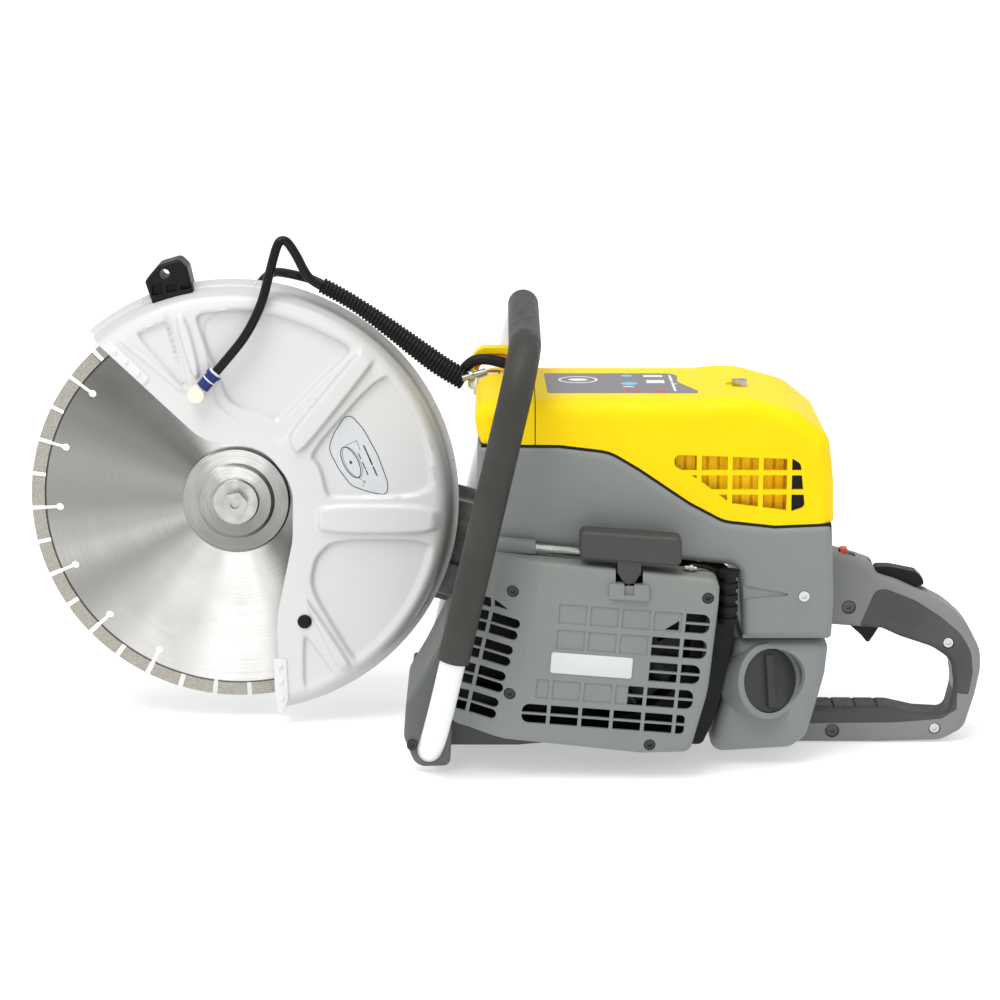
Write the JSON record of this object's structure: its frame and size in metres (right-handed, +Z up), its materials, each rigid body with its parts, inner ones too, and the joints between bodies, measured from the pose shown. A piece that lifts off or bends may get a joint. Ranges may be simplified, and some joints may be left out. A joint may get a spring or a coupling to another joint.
{
  "type": "petrol cut-off saw",
  "caption": "Hand-held petrol saw with a segmented diamond blade in a turning guard, belt arm, front hoop handle and rear trigger handle.",
  "frame": {"origin": "under the middle of the saw, on the surface it stands on, without its two water hoses", "axes": "+X from the blade towards the rear handle, +Y to the operator's right, where the belt arm is, +Z up"},
  "size_m": [0.8064, 0.292, 0.4264],
  "materials": {
    "blade_steel": "radially ground steel",
    "segment_metal": "sintered metal, rough",
    "flange_steel": "turned steel",
    "bolt_steel": "zinc-plated steel",
    "cast_alloy": "die-cast, fine grain",
    "muffler_steel": "heat-stained steel",
    "belt_rubber": "moulded rubber",
    "arm_cover_paint": "satin grey paint",
    "black_plastic": "moulded, fine grain",
    "grip_plastic": "moulded",
    "rope_fibre": "braided",
    "light_grey_plastic": "satin moulded",
    "dark_casting": "cast, coated grey",
    "black_rubber": "moulded rubber",
    "sleeve_rubber": "smooth foam rubber",
    "hoop_paint": "white powder coat",
    "grey_plastic": "satin moulded",
    "yellow_plastic": "glossy moulded",
    "tank_plastic": "satin moulded",
    "cap_plastic": "moulded",
    "handle_plastic": "satin moulded",
    "switch_red": "glossy moulded",
    "guard_paint": "light silver paint on stamped sheet",
    "nozzle_white": "moulded",
    "coupling_blue": "anodised look",
    "conduit_plastic": "corrugated",
    "hose_rubber": "smooth",
    "filter_fabric": "pleated, orange"
  },
  "bodies": {
    "root": {"drive_belt": "belt_rubber", "cutting_arm": "cast_alloy", "ball_bearings": "bolt_steel", "arm_bolts": "bolt_steel", "belt_cover": "arm_cover_paint", "clutch_cover": "black_plastic", "belt_tensioner": "bolt_steel", "recoil_spring": "bolt_steel", "starter_rope": "rope_fibre", "starter_cover": "light_grey_plastic", "fan_housing": "black_plastic", "housing_screws": "bolt_steel", "crankcase": "cast_alloy", "cylinder": "cast_alloy", "spark_plug": "black_plastic", "muffler": "muffler_steel", "carburettor": "cast_alloy", "air_filter": "filter_fabric", "engine_base": "dark_casting", "isolator_mounts": "black_rubber", "front_hoop": "hoop_paint", "hoop_sleeve": "sleeve_rubber", "upper_housing": "grey_plastic", "hood_front": "yellow_plastic", "top_cover": "yellow_plastic", "cover_screw": "bolt_steel", "fuel_tank": "tank_plastic", "rear_handle_left": "handle_plastic", "rear_handle_right": "handle_plastic", "grip_pads": "black_rubber", "handle_screws": "bolt_steel", "water_coupling": "nozzle_white", "hose_conduit": "conduit_plastic", "water_hose_left": "hose_rubber", "water_hose_right": "hose_rubber"},
    "blade": {"blade_core": "blade_steel", "blade_segments": "segment_metal", "outer_flange": "flange_steel", "inner_flange": "flange_steel", "blade_bolt": "bolt_steel", "spindle": "bolt_steel", "blade_pulley": "cast_alloy", "pulley_nut": "bolt_steel"},
    "drum": {"clutch_drum": "flange_steel"},
    "crank": {"crankshaft": "bolt_steel", "flywheel": "cast_alloy", "clutch_shoes": "flange_steel"},
    "guard": {"guard_left_shell": "guard_paint", "guard_right_shell": "guard_paint", "guard_knob": "black_plastic", "nozzle_elbows": "nozzle_white", "nozzle_couplings": "coupling_blue"},
    "reel": {"starter_reel": "black_plastic"},
    "pull_grip": {"starter_grip": "grip_plastic"},
    "piston": {"piston": "cast_alloy"},
    "rod": {"connecting_rod": "bolt_steel"},
    "trigger": {"throttle_trigger": "black_plastic"},
    "lock_lever": {"throttle_lock": "black_plastic"},
    "switch": {"stop_switch": "switch_red"},
    "cap": {"fuel_cap": "cap_plastic"}
  },
  "joints": [
    {"name": "blade_spin", "type": "hinge", "parent": "root", "child": "blade", "pos_m": [-0.2282, 0.05, 0.197], "axis": [0, 1, 0], "continuous": true},
    {"name": "drum_spin", "type": "hinge", "parent": "root", "child": "drum", "pos_m": [0.0898, 0.108, 0.109], "axis": [0, 1, 0], "continuous": true},
    {"name": "crank_spin", "type": "hinge", "parent": "root", "child": "crank", "pos_m": [0.0898, 0.005, 0.109], "axis": [0, 1, 0], "continuous": true},
    {"name": "guard_turn", "type": "hinge", "parent": "root", "child": "guard", "pos_m": [-0.2282, 0.077, 0.197], "axis": [0, 1, 0], "range_deg": [-25, 25], "deforming": ["water_hose_left", "water_hose_right"]},
    {"name": "starter_pull", "type": "slide", "parent": "root", "child": "pull_grip", "axis": [0, 0, 1], "range_m": [0, 0.6], "stiffness_N_per_m": 12, "springref_m": -0.5, "deforming": ["starter_rope"]},
    {"name": "reel_spin", "type": "hinge", "parent": "root", "child": "reel", "pos_m": [0.0898, -0.096, 0.109], "axis": [0, -1, 0], "range_deg": [0, 1110]},
    {"name": "piston_slide", "type": "slide", "parent": "root", "child": "piston", "axis": [0, 0, 1], "range_m": [-0.037, 0]},
    {"name": "rod_swing", "type": "hinge", "parent": "piston", "child": "rod", "pos_m": [0.0898, 0.005, 0.1915], "axis": [0, 1, 0], "range_deg": [-16.8, 16.8]},
    {"name": "trigger_pull", "type": "hinge", "parent": "root", "child": "trigger", "pos_m": [0.2898, 0, 0.12], "axis": [0, -1, 0], "range_deg": [0, 18], "stiffness_Nm_per_rad": 0.25, "springref_deg": -20.05},
    {"name": "lock_press", "type": "hinge", "parent": "root", "child": "lock_lever", "pos_m": [0.3168, 0, 0.141], "axis": [0, 1, 0], "range_deg": [0, 7], "stiffness_Nm_per_rad": 0.25, "springref_deg": -17.19},
    {"name": "switch_slide", "type": "slide", "parent": "root", "child": "switch", "axis": [1, 0, 0], "range_m": [0, 0.005]},
    {"name": "cap_turn", "type": "hinge", "parent": "root", "child": "cap", "pos_m": [0.2158, -0.078, 0.075], "axis": [0.5011, -0.8419, 0.2004], "range_deg": [0, 90]}
  ],
  "couplings": [
    {"joint": "drum_spin", "follows": "blade_spin", "ratio": 2},
    {"joint": "reel_spin", "follows": "starter_pull", "rad_per_m": 32.258}
  ]
}
